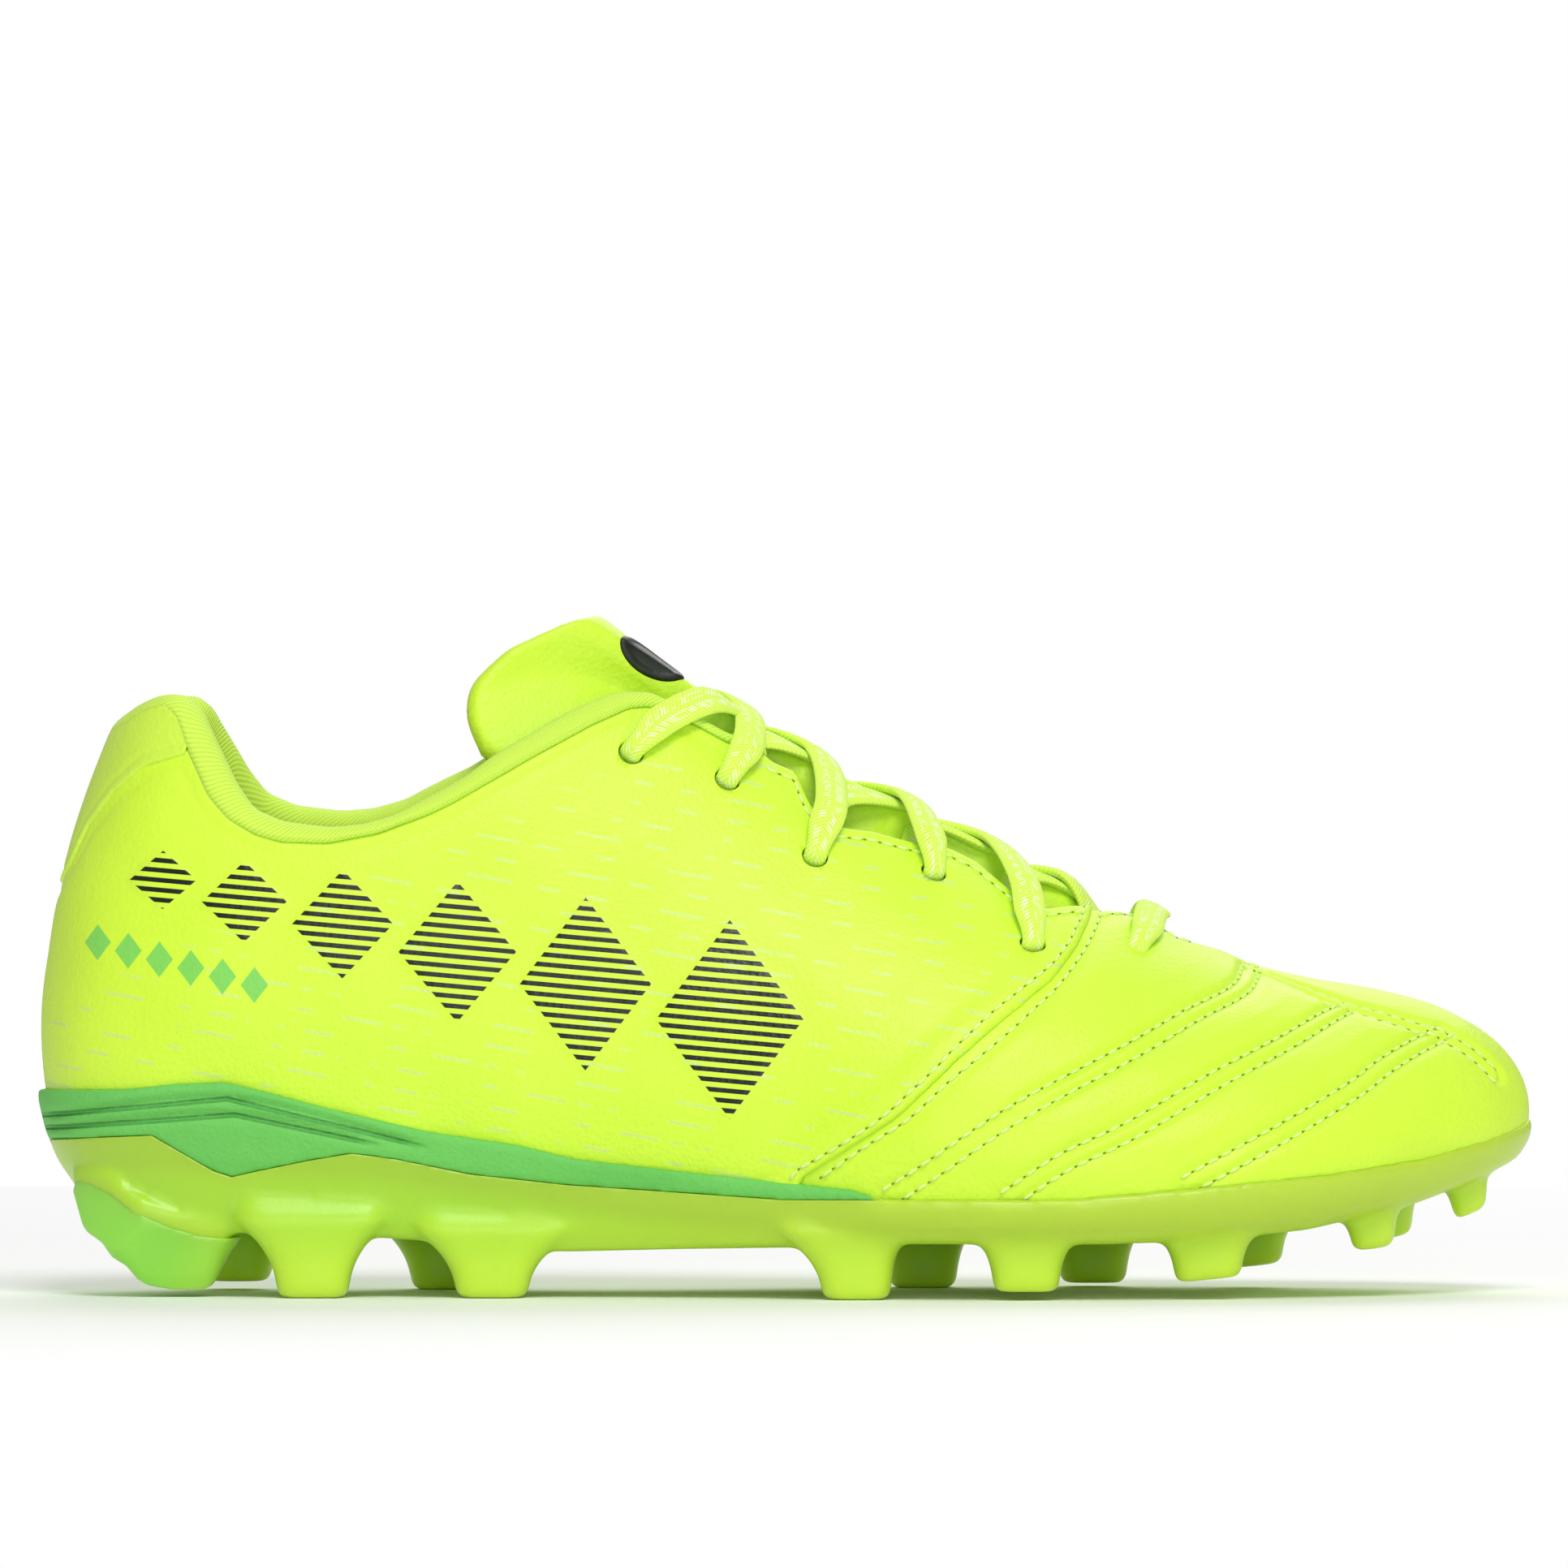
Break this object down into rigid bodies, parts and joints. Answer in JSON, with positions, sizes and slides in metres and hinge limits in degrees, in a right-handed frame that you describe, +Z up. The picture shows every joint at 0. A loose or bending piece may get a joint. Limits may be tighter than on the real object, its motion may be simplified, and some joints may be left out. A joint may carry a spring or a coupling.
{
  "type": "soccer cleat",
  "caption": "Low-cut soccer cleat for firm ground: quilted synthetic upper, laced throat, padded collar, green heel wedge and moulded studded outsole.",
  "frame": {"origin": "centre of the footprint at ground level, under the standing shoe", "axes": "+X towards the toe, +Y towards the inner (medial) side, +Z up; a right shoe"},
  "size_m": [0.285, 0.0942, 0.1286],
  "materials": {
    "outsole_tpu": "translucent satin",
    "heel_corner_tpu": "translucent satin",
    "midsole_eva": "matte foam",
    "insole_fibreboard": "matte",
    "sockliner_foam": "matte",
    "sockliner_top_cloth": "brushed",
    "upper_synthetic": "fine grain satin",
    "heel_panel_synthetic": "fine grain satin",
    "stiffener": "matte",
    "foam": "open cell",
    "lining_mesh": "knit",
    "binding_twill": "twill",
    "tongue_synthetic": "fine grain satin",
    "badge_print": "satin",
    "lace_polyester": "flat braid"
  },
  "bodies": {
    "shoe": {"outsole": "outsole_tpu", "heel_corner_stud": "heel_corner_tpu", "midsole_wedge": "midsole_eva", "insole_board": "insole_fibreboard", "vamp": "upper_synthetic", "quarter_lateral": "upper_synthetic", "quarter_medial": "upper_synthetic", "heel_panel": "heel_panel_synthetic", "heel_counter": "stiffener", "collar_foam": "foam", "eyestay_backing": "stiffener", "vamp_foam": "foam", "toe_puff": "stiffener", "quarter_lining": "lining_mesh", "vamp_lining": "lining_mesh", "collar_binding": "binding_twill", "lace": "lace_polyester"},
    "tongue": {"tongue_face": "tongue_synthetic", "tongue_foam": "foam", "tongue_lining": "lining_mesh", "tongue_badge": "badge_print"},
    "insole": {"sockliner": "sockliner_foam", "sockliner_cover": "sockliner_top_cloth"}
  },
  "joints": [
    {"name": "tongue_fold", "type": "hinge", "parent": "shoe", "child": "tongue", "pos_m": [0.079, 0.005, 0.058], "axis": [0, 1, 0], "range_deg": [-8, 0], "stiffness_Nm_per_rad": 0.6},
    {"name": "sockliner_lift", "type": "hinge", "parent": "shoe", "child": "insole", "pos_m": [0.132, 0.007, 0.028], "axis": [0, 1, 0], "range_deg": [0, 3]}
  ]
}
